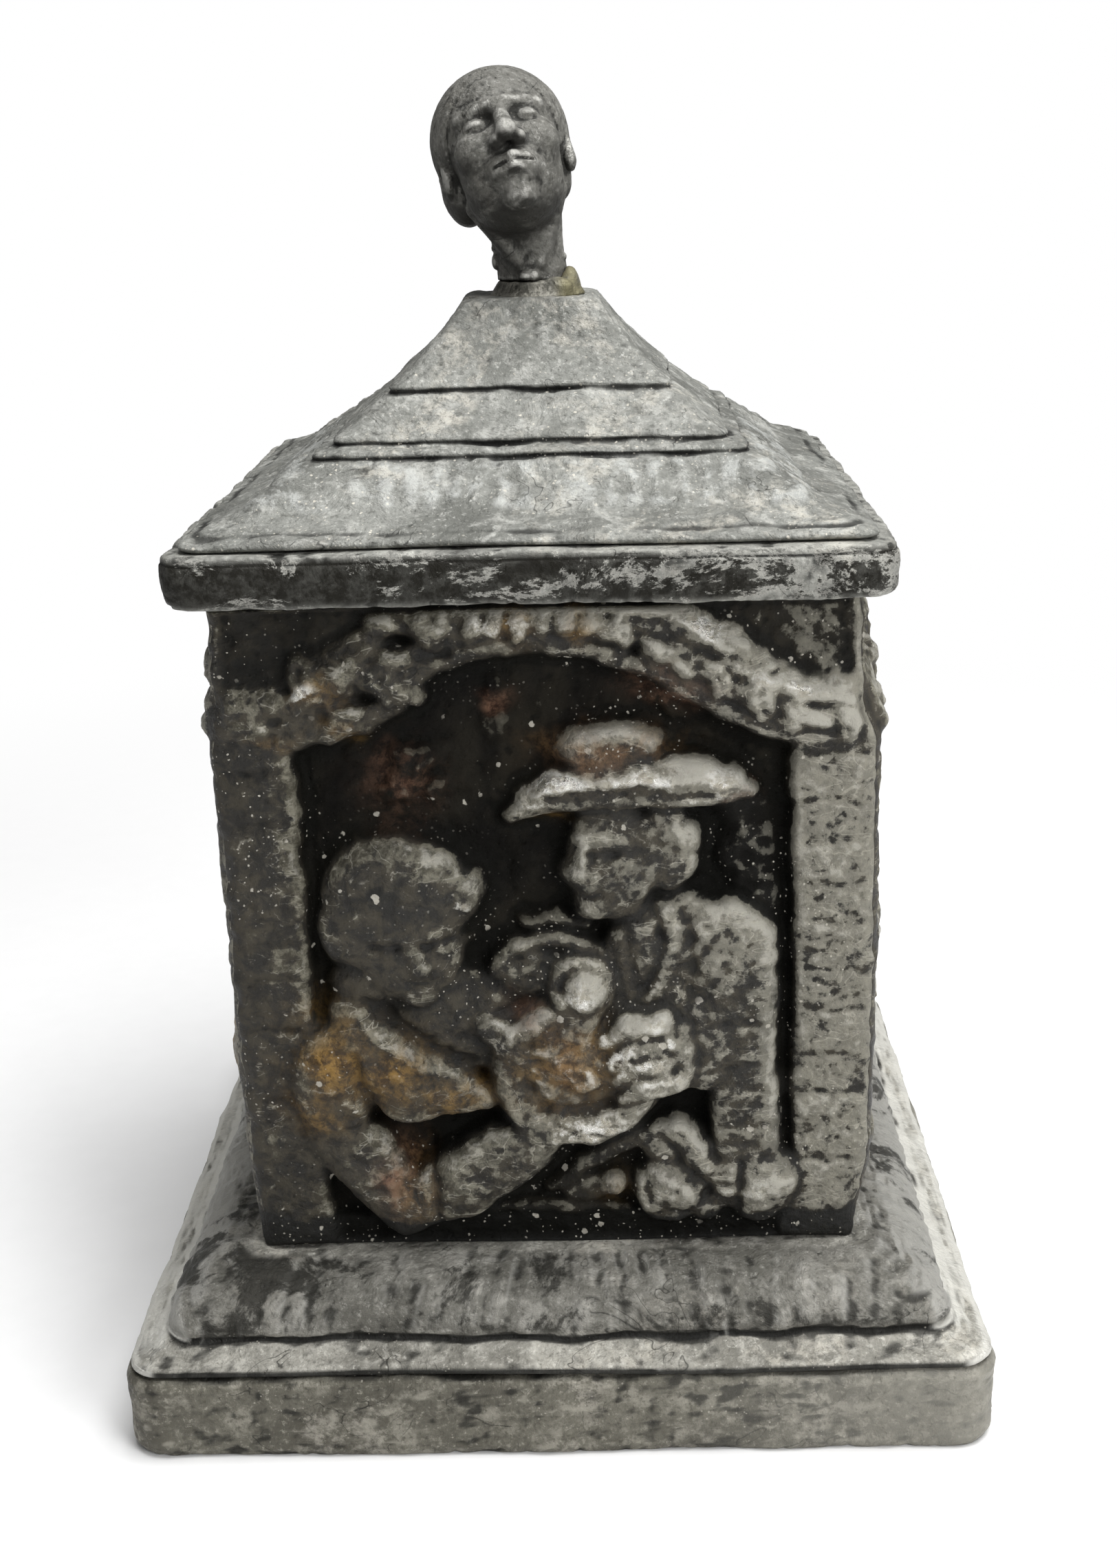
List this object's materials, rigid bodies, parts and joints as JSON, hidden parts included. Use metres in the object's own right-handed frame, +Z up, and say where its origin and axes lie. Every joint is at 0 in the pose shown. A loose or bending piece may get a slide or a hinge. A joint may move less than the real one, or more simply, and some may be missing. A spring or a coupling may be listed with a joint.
{
  "type": "cast lead tobacco box",
  "caption": "Square cast-lead box on a wide plinth, with arched relief panels, a stepped lift-off roof lid with a head finial, and a loose press plate inside.",
  "frame": {"origin": "centre of the underside of the plinth", "axes": "+Z up; the front relief panel faces -Y; +X to the right of someone facing the front"},
  "size_m": [0.1224, 0.1224, 0.1855],
  "materials": {
    "roof_lead": "matte",
    "body_lead": "satin",
    "plinth_lead": "matte",
    "head_lead": "satin",
    "inner_lead": "matte",
    "solder": "satin",
    "pin_iron": "matte"
  },
  "bodies": {
    "box": {"plinth_band": "plinth_lead", "plinth_moulding": "plinth_lead", "bottom_plate": "inner_lead", "front_panel": "body_lead", "back_panel": "body_lead", "left_panel": "body_lead", "right_panel": "body_lead", "floor_plate": "inner_lead", "solder_back_left": "solder", "solder_back_right": "solder", "solder_front_left": "solder", "solder_front_right": "solder"},
    "lid": {"lid_rim": "roof_lead", "lid_roof": "roof_lead", "lid_flange": "inner_lead", "finial_collar": "head_lead", "finial_head": "head_lead", "finial_pin": "pin_iron", "finial_solder": "solder"},
    "press": {"press_plate": "inner_lead", "press_knob": "inner_lead", "press_rivet": "pin_iron"}
  },
  "joints": [
    {"name": "lid_lift", "type": "slide", "parent": "box", "child": "lid", "axis": [0, 0, 1], "range_m": [0, 0.06]},
    {"name": "press_slide", "type": "slide", "parent": "box", "child": "press", "axis": [0, 0, 1], "range_m": [0, 0.06]}
  ]
}
